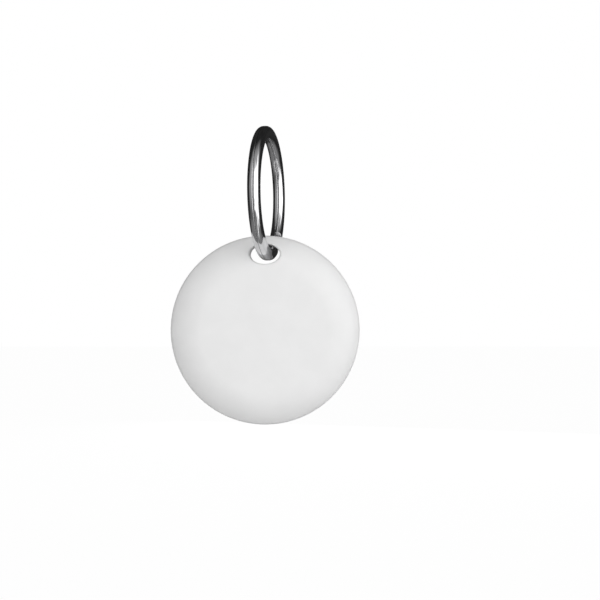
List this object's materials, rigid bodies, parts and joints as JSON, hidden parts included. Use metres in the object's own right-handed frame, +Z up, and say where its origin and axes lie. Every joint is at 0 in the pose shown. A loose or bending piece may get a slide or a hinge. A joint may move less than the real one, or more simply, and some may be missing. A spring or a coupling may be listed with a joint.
{
  "type": "bluetooth tracker tag",
  "caption": "Round white pebble-shaped tracker tag with an oval eyelet, hanging on a split key ring, with a lift-off battery door in its back.",
  "frame": {"origin": "middle of the key ring, on the line about which the hanging tag swings", "axes": "+Z up, from the tag to the key ring; the tag's domed face looks along -Y and its battery door along +Y"},
  "size_m": [0.038, 0.0266, 0.0598],
  "materials": {
    "chrome_steel": "polished nickel chrome",
    "white_shell": "satin moulded",
    "white_door": "satin moulded",
    "seal_silicone": "matte",
    "board_laminate": "solder mask",
    "cradle_plastic": "moulded",
    "chip_resin": "moulded resin",
    "crystal_can": "plated lid",
    "chip_ceramic": "fired ceramic",
    "coil_ferrite": "ferrite and resin",
    "resistor_body": "glazed chip",
    "spring_metal": "gold-flashed spring strip",
    "cell_steel": "nickel-plated steel",
    "cell_nylon": "moulded nylon",
    "cell_pellet": "pressed powder",
    "cell_lithium": "soft metal",
    "switch_plastic": "moulded",
    "switch_steel": "thin sheet",
    "sounder_brass": "rolled sheet",
    "sounder_ceramic": "silvered ceramic",
    "adhesive_film": "tacky film"
  },
  "bodies": {
    "key_ring": {"key_ring": "chrome_steel"},
    "tag": {"front_shell": "white_shell", "rear_shell": "white_shell", "circuit_board": "board_laminate", "battery_cradle": "cradle_plastic", "bluetooth_chip": "chip_resin", "main_crystal": "crystal_can", "watch_crystal": "crystal_can", "chip_antenna": "chip_ceramic", "drive_inductor": "coil_ferrite", "chip_capacitors": "chip_ceramic", "chip_resistors": "resistor_body", "positive_contact": "spring_metal", "negative_contact": "spring_metal", "switch_base": "switch_plastic", "switch_dome": "switch_steel", "switch_cover": "switch_steel", "sounder_adhesive": "adhesive_film", "sounder_plate": "sounder_brass", "sounder_ceramic": "sounder_ceramic", "sounder_contacts": "spring_metal"},
    "battery_door": {"battery_door": "white_door", "door_seal": "seal_silicone"},
    "coin_cell": {"cell_can": "cell_steel", "cell_cap": "cell_steel", "cell_gasket": "cell_nylon", "cell_cathode": "cell_pellet", "cell_anode": "cell_lithium"},
    "switch_plunger": {"switch_plunger": "switch_plastic"}
  },
  "joints": [
    {"name": "tag_swing", "type": "hinge", "parent": "key_ring", "child": "tag", "pos_m": [0, 0, 0], "axis": [0.9848, -0.1736, 0], "continuous": true},
    {"name": "door_lift", "type": "slide", "parent": "tag", "child": "battery_door", "axis": [0, 1, 0], "range_m": [0, 0.012]},
    {"name": "cell_lift", "type": "slide", "parent": "tag", "child": "coin_cell", "axis": [0, 1, 0], "range_m": [0, 0.006]},
    {"name": "switch_press", "type": "slide", "parent": "tag", "child": "switch_plunger", "axis": [0, 1, 0], "range_m": [0, 0.0002], "stiffness_N_per_m": 4000, "springref_m": -0.0002}
  ],
  "couplings": [
    {"joint": "cell_lift", "follows": "door_lift", "ratio": 0.5}
  ]
}
